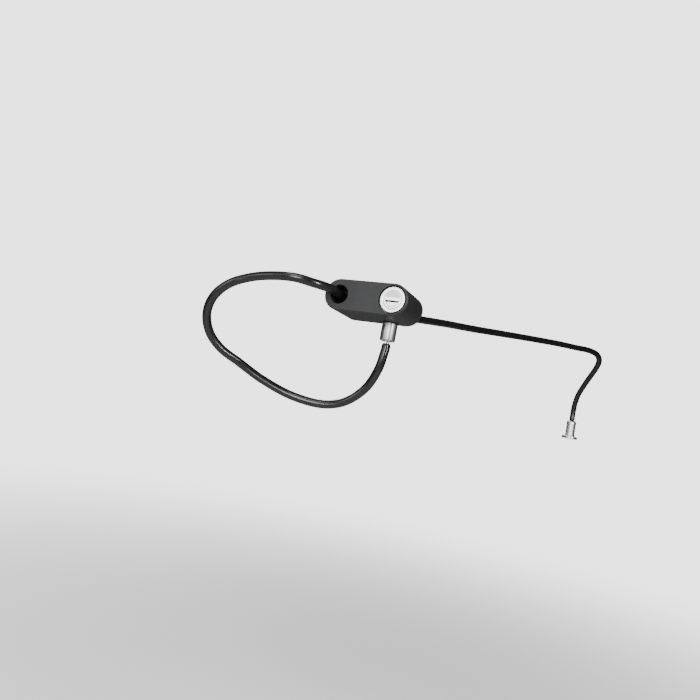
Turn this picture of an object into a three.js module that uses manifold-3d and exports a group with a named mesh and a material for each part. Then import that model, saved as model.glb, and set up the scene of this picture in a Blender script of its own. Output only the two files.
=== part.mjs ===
// Cable lock: a coated steel cable that makes a sliding loop through an oblong lock housing.
// Millimetres, +Z up. Origin: centre of the flat underside of the anchor at the cable's fixed end.
// +X runs along the housing from the cable hole to the key, +Y from its face to its back.
import * as THREE from 'three';
import { mergeVertices } from 'three/addons/utils/BufferGeometryUtils.js';
import Module from 'manifold-3d';

const wasm = await Module();
wasm.setup();

// ---- driving dimensions: from the cable hole's centre on the housing's face --------------------
const GAP = 0.3;                // clearance between separate pieces
const BEYOND = 5;               // how far a cutting shape reaches past what it cuts
const REACH = 60;               // wider than the housing any way
const ANCHOR = [129, 434, -55]; // centre of the anchor's underside

const KEY_X = 39;               // cable hole axis to key axis
const BODY_R = 11;              // half the housing's width
const BODY_DEPTH = 34;
const WALL = 1.5;
const FACE_WALL = 2.4;
const COVER_THICK = 2;
const EDGE_BEVEL = 0.8;
const HOLE_R = 6.5;             // hole that the cable runs through
const TUBE_R = 8;               // wall around that hole
const CASE_LEFT = 5;            // where the die-cast case ends beside that wall

const CABLE_R = 3.1;
const ROPE_R = 2;
const LOOP_SPLIT_Y = 6;         // the two stretches of cable meet this deep inside the hole

const BARREL_FLANGE_R = 8.7;
const BARREL_FLANGE_Y = [0.4, 3.2];
const BARREL_R = 7.9;
const BARREL_END_Y = 19.6;
const SEAL = { ring: 8.7, section: 0.5, y: 4.1 };
const SEAL_ROOM_Y = 5;          // depth of the case's round recess for flange and seal

const PLUG_R = 6.2;
const PLUG_FACE_Y = 0.2;
const PLUG_END_Y = 21.2;
const KEYWAY_Z = -1.2;          // the keyway lies below the plug's axis
const KEY_SLOT = { halfLength: 5, halfHeight: 0.5, depth: 3 };
const KEYWAY = { halfLength: 3.6, halfHeight: 0.9, end: 18.4 };
const THUMB_RECESS = { radius: 4.1, z: -1, depth: 0.8 };
const CLIP_GROOVE_R = 5.2;
const CLIP_R = 7.6;
const CLIP_THICK = 0.7;
const CLIP_OPENING = 0.5;       // half the clip's opening, in radians
const TAIL_R = 1.5;
const TAIL_FLAT = 1.1;          // flat on the tail, from its axis

const WAFER_COUNT = 5;
const WAFER_PITCH = 2.8;
const WAFER_THICK = 1.2;
const FIRST_WAFER_Y = 4.9;
const WAFER_HALF = [4.9, 3.3];  // half length and half height
const WAFER_WINDOW = [3.3, 1.2]; // half length and half height of the key's window
const EAR = { left: 1.9, right: 2.9, top: 5.1 };
const SPRING = { turns: 4, steps: 32, coil: 0.42, wire: 0.14, left: -2.6, length: 3.8, z: 4.4 };
const SPRING_ROOM = [-3, 3.2];

const CAM_Y = [21.7, 23];       // front and back of the cam and of the yoke around it
const CAM_LEFT = 2.6;           // reach of the cam towards the tip with the lock open
const CAM_WIDTH = 7.2;          // width of the cam across the yoke, at every angle
const BOLT_TRAVEL = 1.8;
const KEY_TURN = Math.PI / 2;
const YOKE_R = 8.1;
const YOKE_HALF_HEIGHT = 6.1;
const YOKE_WINDOW_HALF = 4.9;
const YOKE_WEB = 1.4;
const YOKE_ROOM = 0.4;          // room for the yoke, in depth, before and behind it

const TIP = [30.3, 26.8];       // axis of the cable's tip in X and Y
const PIN_R = 3.6;
const PIN_TOP_Z = 5.5;
const PIN_NOSE = 1;
const PIN_GROOVE_R = 1.8;
const PIN_GROOVE_HALF = 2.8;
const FERRULE_R = 5.45;
const FERRULE_LENGTH = 12.5;
const FERRULE_BEVEL = [0.4, 0.3]; // at the bottom and at the top
const NECK_LENGTH = 1.4;

const BLOCK_LEFT = TIP[0] + PIN_R + GAP;
const BLOCK_RIGHT = KEY_X - TAIL_R - GAP - 0.1;
const BLOCK_HALF_HEIGHT = 2.1;
const BLOCK_BACK_Y = 28.8;

const ANCHOR_R = 5.5;
const ANCHOR_FLANGE = { radius: 9, height: 3, bevel: 0.4, fillet: 0.6 };
const ANCHOR_TOP_BEVEL = 1.4;
const ANCHOR_HEIGHT = 22;

const COVER_SCREWS = [[15, 5.5], [15, -5.5], [45, 0]];
const SCREW_R = 1.25;
const SCREW_HEAD_R = 2.4;
const SCREW_NECK = 0.65;        // depth of the cone's foot behind the cover's inner face
const SCREW_SOCKET = { radius: 1.1, depth: 1.3 };
const SCREW_DEEP_Y = 25;
const SCREW_SUNK = 0.1;         // screw heads lie this much below the cover's back

// Cable route in front of the housing, from inside the hole to the jacket's end under the ferrule.
const LOOP_ROUTE = [
  [-1.8, LOOP_SPLIT_Y, 0.4], [-3.1, -2, 1.7], [-6.1, -9.9, 1.9], [-12, -17.5, 2], [-21.2, -23.6, 2.8],
  [-33.7, -27.1, 2.2], [-50.6, -30.4, -1], [-65.6, -34.3, -8.2], [-76.7, -33.7, -18.5],
  [-82.1, -29.5, -29.7], [-82, -22.5, -41.1], [-76.9, -13.6, -50.1], [-66.6, -2, -57.4],
  [-51.2, 8, -66.1], [-30.3, 18.7, -73.5], [-8.5, 26.3, -75.1], [6.2, 29.9, -70.3],
  [19.5, 30.7, -58.4], [27.7, 27.6, -43.6], [29.8, 26.6, -33.7], [30.3, 26.8, -29], [30.3, 26.8, -25.8],
];

// Cable route behind that: through the hole, away to the carrier and down to the anchor.
const RUN_ROUTE = [
  [-1.75, LOOP_SPLIT_Y + GAP, 0.35], [-0.8, 12, -0.4], [2.7, 34, -0.4], [11, 60, 2], [25, 92, 6.5],
  [39, 127, 12], [54, 163, 17], [73, 209, 24], [94, 256, 31], [114, 293, 36], [130, 318, 38.5],
  [142.5, 338, 40.5], [150, 352, 39.5], [152.6, 366, 35.5], [150, 383, 29], [144, 400, 20],
  [137.5, 415, 9.5], [132, 426, -2], [129.6, 432, -13], [129, 434, -24], [129, 434, -32.7],
];

const BLACK_PLASTIC = { color: 0x303134, roughness: 0.5, metalness: 0 };
const BLACK_JACKET = { color: 0x161719, roughness: 0.3, metalness: 0 };
const BLACK_RUBBER = { color: 0x141414, roughness: 0.85, metalness: 0 };
const NICKEL = { color: 0xd9dbdd, roughness: 0.28, metalness: 1 };
const SATIN_STEEL = { color: 0xb9bbbe, roughness: 0.35, metalness: 1 };
const ZINC = { color: 0x9a9da0, roughness: 0.5, metalness: 1 };
const BRASS = { color: 0xc9a75a, roughness: 0.4, metalness: 1 };

// ---- solids ---------------------------------------------------------------------------------
function toManifold(geometry) {
  const bare = geometry.clone();
  bare.deleteAttribute('normal');
  bare.deleteAttribute('uv');
  const merged = mergeVertices(bare, 1e-4);
  return new wasm.Manifold(new wasm.Mesh({
    numProp: 3,
    vertProperties: new Float32Array(merged.attributes.position.array),
    triVerts: new Uint32Array(merged.index.array),
  }));
}

function toGeometry(solid) {
  const mesh = solid.getMesh();
  const geometry = new THREE.BufferGeometry();
  geometry.setAttribute('position', new THREE.BufferAttribute(mesh.vertProperties, 3));
  geometry.setIndex(new THREE.BufferAttribute(mesh.triVerts, 1));
  geometry.computeVertexNormals();
  return geometry;
}

function join(first, ...others) {
  return toGeometry(others.reduce((solid, other) => solid.add(toManifold(other)), toManifold(first)));
}

function cut(first, ...others) {
  return toGeometry(others.reduce((solid, other) => solid.subtract(toManifold(other)), toManifold(first)));
}

function common(first, second) {
  return toGeometry(toManifold(first).intersect(toManifold(second)));
}

// A flat outline in X and Z, given depth from y0 to y1.
function slab(outline, y0, y1) {
  const geometry = new THREE.ExtrudeGeometry(outline, { depth: y1 - y0, bevelEnabled: false });
  return geometry.rotateX(Math.PI / 2).translate(0, y1, 0);
}

function block([x0, x1], [y0, y1], [z0, z1]) {
  const geometry = new THREE.BoxGeometry(x1 - x0, y1 - y0, z1 - z0);
  return geometry.translate((x0 + x1) / 2, (y0 + y1) / 2, (z0 + z1) / 2);
}

// A pair of limits, half a size each way from a centre.
function about(centre, half) {
  return [centre - half, centre + half];
}

// A round piece on an axis along Y at (x, z); the profile lists radius and Y, anticlockwise.
function turnedY(profile, x, z, segments = 28) {
  const points = profile.map(([radius, y]) => new THREE.Vector2(radius, y));
  return new THREE.LatheGeometry(points, segments).translate(x, 0, z);
}

// A round piece on an upright axis at (x, y); the profile lists radius and Z, anticlockwise.
function turnedZ(profile, x, y, segments = 28) {
  const points = profile.map(([radius, z]) => new THREE.Vector2(radius, z));
  return new THREE.LatheGeometry(points, segments).rotateX(Math.PI / 2).translate(x, y, 0);
}

function rodY(radius, y0, y1, x, z, segments = 28) {
  return turnedY([[0, y0], [radius, y0], [radius, y1], [0, y1]], x, z, segments);
}

function rodZ(radius, z0, z1, x, y, segments = 28) {
  return turnedZ([[0, z0], [radius, z0], [radius, z1], [0, z1]], x, y, segments);
}

function tube(route, radius, steps, sides) {
  const points = route.map((point) => new THREE.Vector3(...point));
  const path = new THREE.CatmullRomCurve3(points, false, 'centripetal');
  const section = new THREE.Shape().absarc(0, 0, radius, 0, 2 * Math.PI);
  return new THREE.ExtrudeGeometry(section, { steps, extrudePath: path, curveSegments: sides / 2 });
}

// Oblong outline with round ends centred on the cable hole side and the key side.
function oblong(radius, left = 0, right = KEY_X) {
  const outline = new THREE.Shape();
  outline.moveTo(left, -radius);
  outline.lineTo(right, -radius);
  outline.absarc(right, 0, radius, -Math.PI / 2, Math.PI / 2, false);
  outline.lineTo(left, radius);
  outline.absarc(left, 0, radius, Math.PI / 2, 1.5 * Math.PI, false);
  return outline;
}

// ---- housing --------------------------------------------------------------------------------
const COVER_Y = BODY_DEPTH - COVER_THICK;
const SHELL_BACK_Y = COVER_Y - GAP;
const INNER_R = BODY_R - WALL;
const CASE_R = INNER_R - GAP;
const KEY_OPENING_R = INNER_R + 0.1;
const PIN_BORE_R = PIN_R + GAP;
const BACK_END = BODY_DEPTH + BEYOND;

function housingForm() {
  const geometry = new THREE.ExtrudeGeometry(oblong(BODY_R), {
    depth: BODY_DEPTH - 2 * EDGE_BEVEL,
    bevelThickness: EDGE_BEVEL,
    bevelSize: EDGE_BEVEL,
    bevelOffset: -EDGE_BEVEL,
    bevelSegments: 2,
  });
  return geometry.rotateX(Math.PI / 2).translate(0, BODY_DEPTH - EDGE_BEVEL, 0);
}

function everythingBetween(y0, y1) {
  return block([-REACH, REACH], [y0, y1], [-REACH, REACH]);
}

function frontShell() {
  const outside = cut(housingForm(), everythingBetween(SHELL_BACK_Y, BACK_END));
  const hollow = cut(slab(oblong(INNER_R), FACE_WALL, BODY_DEPTH), rodY(TUBE_R, 0, BACK_END, 0, 0));
  return cut(
    outside,
    hollow,
    rodY(HOLE_R, -BEYOND, BACK_END, 0, 0, 32),
    rodY(KEY_OPENING_R, -BEYOND, FACE_WALL + 1, KEY_X, 0, 36),
    rodZ(PIN_BORE_R, -BODY_R - 1, -INNER_R + 1, ...TIP),
  );
}

function backCover() {
  const plate = cut(housingForm(), everythingBetween(-BEYOND, COVER_Y));
  const sinks = COVER_SCREWS.map(([x, z]) => turnedY([
    [0, COVER_Y - 1], [SCREW_R + GAP, COVER_Y - 1], [SCREW_R + GAP, COVER_Y + SCREW_NECK],
    [SCREW_HEAD_R + GAP, BODY_DEPTH - SCREW_SUNK], [SCREW_HEAD_R + GAP, BACK_END], [0, BACK_END],
  ], x, z, 20));
  return cut(plate, rodY(HOLE_R, 0, BACK_END, 0, 0, 32), ...sinks);
}

function coverScrew(x, z) {
  const head = BODY_DEPTH - SCREW_SUNK;
  const screw = turnedY([
    [0, SCREW_DEEP_Y], [SCREW_R, SCREW_DEEP_Y + 0.4], [SCREW_R, COVER_Y + SCREW_NECK],
    [SCREW_HEAD_R, head], [0, head],
  ], x, z, 16);
  return cut(screw, rodY(SCREW_SOCKET.radius, BODY_DEPTH - SCREW_SOCKET.depth, BACK_END, x, z, 6));
}

// Die-cast block that fills the housing, with room for the cable's tube, cylinder, yoke and pin.
function lockCase() {
  const form = common(
    slab(oblong(CASE_R), FACE_WALL + GAP, SHELL_BACK_Y),
    block([CASE_LEFT, REACH], [0, BODY_DEPTH], [-REACH, REACH]),
  );
  const yokeRoom = slab(
    oblong(YOKE_R + GAP, KEY_X - BOLT_TRAVEL - GAP),
    CAM_Y[0] - YOKE_ROOM,
    CAM_Y[1] + YOKE_ROOM,
  );
  const blockRoom = block(
    [BLOCK_LEFT - BOLT_TRAVEL - GAP, BLOCK_RIGHT + GAP],
    [CAM_Y[1], BLOCK_BACK_Y + GAP],
    about(0, BLOCK_HALF_HEIGHT + GAP),
  );
  const screwHoles = COVER_SCREWS.map(
    ([x, z]) => rodY(SCREW_R + GAP, SCREW_DEEP_Y - 1, BODY_DEPTH, x, z, 16),
  );
  return cut(
    form,
    rodY(TUBE_R + GAP, 0, BODY_DEPTH, 0, 0),
    rodY(KEY_OPENING_R, 0, SEAL_ROOM_Y, KEY_X, 0, 36),
    rodY(BARREL_R + GAP, 0, CAM_Y[0] - GAP, KEY_X, 0, 36),
    yokeRoom,
    blockRoom,
    rodZ(PIN_BORE_R, -BODY_R, PIN_TOP_Z + GAP, ...TIP),
    ...screwHoles,
  );
}

// ---- key cylinder ---------------------------------------------------------------------------
function barrel() {
  const [face, flangeBack] = BARREL_FLANGE_Y;
  const bore = PLUG_R + GAP;
  return turnedY([
    [bore, face], [BARREL_FLANGE_R - 0.3, face], [BARREL_FLANGE_R, face + 0.3],
    [BARREL_FLANGE_R, flangeBack], [BARREL_R, flangeBack], [BARREL_R, BARREL_END_Y],
    [bore, BARREL_END_Y], [bore, face],
  ], KEY_X, 0, 36);
}

function barrelSeal() {
  return new THREE.TorusGeometry(SEAL.ring, SEAL.section, 6, 28)
    .rotateX(Math.PI / 2)
    .translate(KEY_X, SEAL.y, 0);
}

function waferYs() {
  return Array.from({ length: WAFER_COUNT }, (_, index) => FIRST_WAFER_Y + index * WAFER_PITCH);
}

// Room in the plug for one wafer, which passes right through it, and for the spring above it.
function waferRoom(y) {
  const depth = about(y, WAFER_THICK / 2 + GAP);
  const through = block(about(KEY_X, PLUG_R + 1), depth, about(0, WAFER_HALF[1] + GAP));
  const [left, right] = SPRING_ROOM;
  const springRoom = block([KEY_X + left, KEY_X + right], depth, [0, EAR.top + 0.1]);
  return [through, springRoom];
}

function keyPlug() {
  const groove = [BARREL_END_Y, BARREL_END_Y + CLIP_THICK + 2 * GAP];
  const form = turnedY([
    [0, PLUG_FACE_Y], [PLUG_R - 0.2, PLUG_FACE_Y], [PLUG_R, PLUG_FACE_Y + 0.2],
    [PLUG_R, groove[0]], [CLIP_GROOVE_R, groove[0]], [CLIP_GROOVE_R, groove[1]],
    [PLUG_R, groove[1]], [PLUG_R, PLUG_END_Y], [0, PLUG_END_Y],
  ], KEY_X, 0, 36);
  const tail = common(
    rodY(TAIL_R, PLUG_END_Y - 1, CAM_Y[1] + 0.1, KEY_X, 0, 20),
    block([KEY_X - TAIL_R - 1, KEY_X + TAIL_FLAT], [0, BODY_DEPTH], about(0, TAIL_R + 1)),
  );
  const { radius, z, depth } = THUMB_RECESS;
  const recess = new THREE.Shape().absarc(KEY_X, z, radius, Math.PI, 2 * Math.PI, false);
  return cut(
    join(form, tail),
    block(about(KEY_X, KEY_SLOT.halfLength), [0, KEY_SLOT.depth], about(KEYWAY_Z, KEY_SLOT.halfHeight)),
    block(about(KEY_X, KEYWAY.halfLength), [2, KEYWAY.end], about(KEYWAY_Z, KEYWAY.halfHeight)),
    slab(recess, 0, depth),
    ...waferYs().flatMap((y) => waferRoom(y)),
  );
}

function wafer(y) {
  const [halfLength, halfHeight] = WAFER_HALF;
  const outline = new THREE.Shape();
  outline.moveTo(KEY_X - halfLength, -halfHeight);
  outline.lineTo(KEY_X + halfLength, -halfHeight);
  outline.lineTo(KEY_X + halfLength, halfHeight);
  outline.lineTo(KEY_X + EAR.right, halfHeight);
  outline.lineTo(KEY_X + EAR.right, EAR.top);
  outline.lineTo(KEY_X + EAR.left, EAR.top);
  outline.lineTo(KEY_X + EAR.left, halfHeight);
  outline.lineTo(KEY_X - halfLength, halfHeight);
  const [left, right] = about(KEY_X, WAFER_WINDOW[0]);
  const [bottom, top] = about(KEYWAY_Z, WAFER_WINDOW[1]);
  const keyWindow = new THREE.Path();
  keyWindow.moveTo(left, bottom);
  keyWindow.lineTo(left, top);
  keyWindow.lineTo(right, top);
  keyWindow.lineTo(right, bottom);
  outline.holes.push(keyWindow);
  return slab(outline, y - WAFER_THICK / 2, y + WAFER_THICK / 2);
}

function waferSpring(y) {
  const points = Array.from({ length: SPRING.steps + 1 }, (_, index) => {
    const share = index / SPRING.steps;
    const angle = share * SPRING.turns * 2 * Math.PI;
    return [
      KEY_X + SPRING.left + SPRING.length * share,
      y + SPRING.coil * Math.cos(angle),
      SPRING.z + SPRING.coil * Math.sin(angle),
    ];
  });
  return tube(points, SPRING.wire, SPRING.steps, 6);
}

function plugClip() {
  const outline = new THREE.Shape();
  const ends = [CLIP_OPENING, 2 * Math.PI - CLIP_OPENING];
  outline.absarc(KEY_X, 0, CLIP_R, ends[0], ends[1], false);
  outline.absarc(KEY_X, 0, CLIP_GROOVE_R + GAP, ends[1], ends[0], true);
  return slab(outline, BARREL_END_Y + GAP, BARREL_END_Y + GAP + CLIP_THICK);
}

// Cam whose reach towards -X grows evenly as it turns: its flanks are involutes, so it stays
// CAM_WIDTH wide between the yoke's two flat sides all the way round the key's quarter turn.
function tailCam() {
  const rate = BOLT_TRAVEL / KEY_TURN;
  const steps = 8;
  const outline = new THREE.Shape();
  for (const side of [0, 1]) {
    for (let index = 0; index <= steps; index += 1) {
      const turn = (index / steps) * KEY_TURN;
      const angle = Math.PI + turn + side * Math.PI;
      const reach = side ? CAM_WIDTH - CAM_LEFT - rate * turn : CAM_LEFT + rate * turn;
      const slope = side ? -rate : rate;
      const x = KEY_X + reach * Math.cos(angle) - slope * Math.sin(angle);
      const z = reach * Math.sin(angle) + slope * Math.cos(angle);
      outline[side + index ? 'lineTo' : 'moveTo'](x, z);
    }
  }
  const bore = common(
    rodY(TAIL_R + GAP, 0, BODY_DEPTH, KEY_X, 0, 20),
    block([KEY_X - TAIL_R - 1, KEY_X + TAIL_FLAT + GAP], [0, BODY_DEPTH], about(0, TAIL_R + 1)),
  );
  return cut(slab(outline, ...CAM_Y), bore);
}

// ---- locking bolt ---------------------------------------------------------------------------
// A yoke around the cam, and behind it the block that slides into the pin's groove.
function lockingBolt() {
  const left = KEY_X - CAM_LEFT - GAP;
  const right = KEY_X - CAM_LEFT + CAM_WIDTH + GAP;
  const plate = common(
    block([left - YOKE_WEB, right + YOKE_WEB], CAM_Y, about(0, YOKE_HALF_HEIGHT)),
    rodY(YOKE_R, 0, BODY_DEPTH, KEY_X, 0, 36),
  );
  const yoke = cut(plate, block([left, right], [0, BODY_DEPTH], about(0, YOKE_WINDOW_HALF)));
  const height = about(0, BLOCK_HALF_HEIGHT);
  const root = block([BLOCK_LEFT, left], [CAM_Y[1] - 0.2, BLOCK_BACK_Y], height);
  const body = block([BLOCK_LEFT, BLOCK_RIGHT], [CAM_Y[1] + GAP, BLOCK_BACK_Y], height);
  return join(yoke, root, body);
}

// ---- cable and its ends ---------------------------------------------------------------------
const FERRULE_TOP_Z = -BODY_R - GAP;
const FERRULE_BOTTOM_Z = FERRULE_TOP_Z - FERRULE_LENGTH;

function lockingPin() {
  return turnedZ([
    [0, -BODY_R], [PIN_R, -BODY_R], [PIN_R, -PIN_GROOVE_HALF], [PIN_GROOVE_R, -PIN_GROOVE_HALF],
    [PIN_GROOVE_R, PIN_GROOVE_HALF], [PIN_R, PIN_GROOVE_HALF], [PIN_R, PIN_TOP_Z - PIN_NOSE],
    [PIN_R - PIN_NOSE, PIN_TOP_Z], [0, PIN_TOP_Z],
  ], ...TIP);
}

function ferrule() {
  const [low, high] = FERRULE_BEVEL;
  return turnedZ([
    [0, FERRULE_BOTTOM_Z], [FERRULE_R - low, FERRULE_BOTTOM_Z], [FERRULE_R, FERRULE_BOTTOM_Z + low],
    [FERRULE_R, FERRULE_TOP_Z - high], [FERRULE_R - high, FERRULE_TOP_Z], [0, FERRULE_TOP_Z],
  ], ...TIP);
}

function ropeNeck() {
  const top = FERRULE_BOTTOM_Z - GAP;
  return rodZ(ROPE_R, top - NECK_LENGTH, top, ...TIP, 12);
}

function anchorSleeve() {
  const [x, y, bottom] = ANCHOR;
  const { radius, height, bevel, fillet } = ANCHOR_FLANGE;
  const shoulder = bottom + height;
  const top = bottom + ANCHOR_HEIGHT;
  return turnedZ([
    [0, bottom], [radius - bevel, bottom], [radius, bottom + bevel], [radius, shoulder - bevel],
    [radius - bevel, shoulder], [ANCHOR_R + fillet, shoulder], [ANCHOR_R, shoulder + fillet],
    [ANCHOR_R, top - ANCHOR_TOP_BEVEL], [ANCHOR_R - ANCHOR_TOP_BEVEL, top], [0, top],
  ], x, y);
}

// ---- assembly -------------------------------------------------------------------------------
const lock = new THREE.Group();
lock.position.set(-ANCHOR[0], -ANCHOR[1], -ANCHOR[2]);

function place(name, geometry, look) {
  const mesh = new THREE.Mesh(geometry, new THREE.MeshStandardMaterial(look));
  mesh.name = name;
  lock.add(mesh);
}

place('front_shell', frontShell(), BLACK_PLASTIC);
place('back_cover', backCover(), BLACK_PLASTIC);
COVER_SCREWS.forEach(([x, z], index) => place(`cover_screw_${index + 1}`, coverScrew(x, z), SATIN_STEEL));
place('lock_case', lockCase(), ZINC);
place('cylinder_barrel', barrel(), NICKEL);
place('barrel_seal', barrelSeal(), BLACK_RUBBER);
place('key_plug', keyPlug(), NICKEL);
waferYs().forEach((y, index) => {
  place(`wafer_${index + 1}`, wafer(y), BRASS);
  place(`wafer_spring_${index + 1}`, waferSpring(y), SATIN_STEEL);
});
place('plug_clip', plugClip(), SATIN_STEEL);
place('tail_cam', tailCam(), SATIN_STEEL);
place('locking_bolt', lockingBolt(), SATIN_STEEL);
place('locking_pin', lockingPin(), SATIN_STEEL);
place('ferrule', ferrule(), SATIN_STEEL);
place('rope_neck', ropeNeck(), SATIN_STEEL);
place('cable_loop', tube(LOOP_ROUTE, CABLE_R, 30, 10), BLACK_JACKET);
place('cable_run', tube(RUN_ROUTE, CABLE_R, 42, 10), BLACK_JACKET);
place('anchor_sleeve', anchorSleeve(), SATIN_STEEL);

const cableLock = new THREE.Group();
cableLock.add(lock);

export default cableLock;
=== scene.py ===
"""Looks of the cable lock: housing, key cylinder, steel tip and coated cable, around the CAD frame."""
import math

import bmesh
import bpy
from mathutils import Matrix, Vector


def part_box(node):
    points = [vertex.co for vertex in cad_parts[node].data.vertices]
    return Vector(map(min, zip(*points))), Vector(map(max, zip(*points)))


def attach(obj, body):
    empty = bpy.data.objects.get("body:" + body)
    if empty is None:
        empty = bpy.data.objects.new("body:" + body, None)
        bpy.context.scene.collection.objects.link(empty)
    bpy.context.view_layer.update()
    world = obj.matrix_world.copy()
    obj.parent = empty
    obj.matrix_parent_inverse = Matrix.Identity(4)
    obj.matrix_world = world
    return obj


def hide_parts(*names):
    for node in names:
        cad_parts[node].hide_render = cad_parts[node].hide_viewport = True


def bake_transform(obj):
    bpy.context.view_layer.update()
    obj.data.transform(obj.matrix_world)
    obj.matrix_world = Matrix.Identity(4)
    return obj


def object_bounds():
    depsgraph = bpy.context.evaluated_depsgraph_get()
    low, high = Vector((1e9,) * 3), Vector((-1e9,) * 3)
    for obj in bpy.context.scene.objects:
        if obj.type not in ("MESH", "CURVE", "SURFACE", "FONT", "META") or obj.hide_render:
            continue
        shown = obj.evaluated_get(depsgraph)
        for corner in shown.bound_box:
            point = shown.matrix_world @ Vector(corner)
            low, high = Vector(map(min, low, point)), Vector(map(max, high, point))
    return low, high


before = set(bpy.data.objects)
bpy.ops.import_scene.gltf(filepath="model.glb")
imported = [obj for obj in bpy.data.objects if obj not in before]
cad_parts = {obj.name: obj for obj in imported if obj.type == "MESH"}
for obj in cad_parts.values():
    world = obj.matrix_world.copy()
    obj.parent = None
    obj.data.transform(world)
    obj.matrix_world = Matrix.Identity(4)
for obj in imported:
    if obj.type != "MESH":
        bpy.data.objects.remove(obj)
cad_low, cad_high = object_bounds()

MM = 0.001
TAU = 2 * math.pi

# ---- places and sizes read from the frame ---------------------------------------------------
shell_low, shell_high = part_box("front_shell")
barrel_low, barrel_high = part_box("cylinder_barrel")
plug_low, plug_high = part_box("key_plug")
cover_low, cover_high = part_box("back_cover")
ferrule_low, ferrule_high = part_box("ferrule")
pin_low, pin_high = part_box("locking_pin")
neck_low, neck_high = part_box("rope_neck")
anchor_low, anchor_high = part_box("anchor_sleeve")

BODY_R = (shell_high.z - shell_low.z) / 2
HOLE = Vector((shell_low.x + BODY_R, shell_low.y, (shell_low.z + shell_high.z) / 2))
KEY = (barrel_low + barrel_high) / 2
KEY_X = KEY.x - HOLE.x
TIP = (ferrule_low + ferrule_high) / 2
ANCHOR = (anchor_low + anchor_high) / 2

# places on the key cylinder's face, from its axis or from the face inwards
KEYWAY_Z = -1.2 * MM
BAND_TOP = 1.4 * MM
MOON_Z = -1.0 * MM
FIELD_R = 5.75 * MM
FIELD_DEPTH = 0.34 * MM
# from this depth behind the face, and inside this radius, the keyway gets painted shade
KEYWAY_SHADE_DEPTH = 0.54 * MM
KEYWAY_SHADE_R = 5.9 * MM


def at(x, y, z):
    """A point in millimetres from the cable hole's centre on the housing's face."""
    return HOLE + Vector((x, y, z)) * MM


# ---- camera ---------------------------------------------------------------------------------
CAMERA_SPOT = at(183.7, -358.3, -79.6)
CAMERA_FORWARD = Vector((-0.4209, 0.9007, 0.1073))
CAMERA_RIGHT = Vector((0.8978, 0.3967, 0.1915))
SENSOR_WIDTH = 36
FOCAL_SHARE = 600 / 700


def make_camera():
    """The photograph's viewpoint; the focal length is a share of the picture's width."""
    data = bpy.data.cameras.new("camera")
    camera = bpy.data.objects.new("camera", data)
    bpy.context.scene.collection.objects.link(camera)
    forward = CAMERA_FORWARD.normalized()
    right = (CAMERA_RIGHT - forward * CAMERA_RIGHT.dot(forward)).normalized()
    up = right.cross(forward)
    turn = Matrix((right, up, -forward)).transposed()
    camera.matrix_world = Matrix.Translation(CAMERA_SPOT) @ turn.to_4x4()
    data.sensor_width = SENSOR_WIDTH
    data.lens = FOCAL_SHARE * SENSOR_WIDTH
    data.clip_start = 0.01
    data.clip_end = 100
    bpy.context.scene.camera = camera


make_camera()


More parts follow.
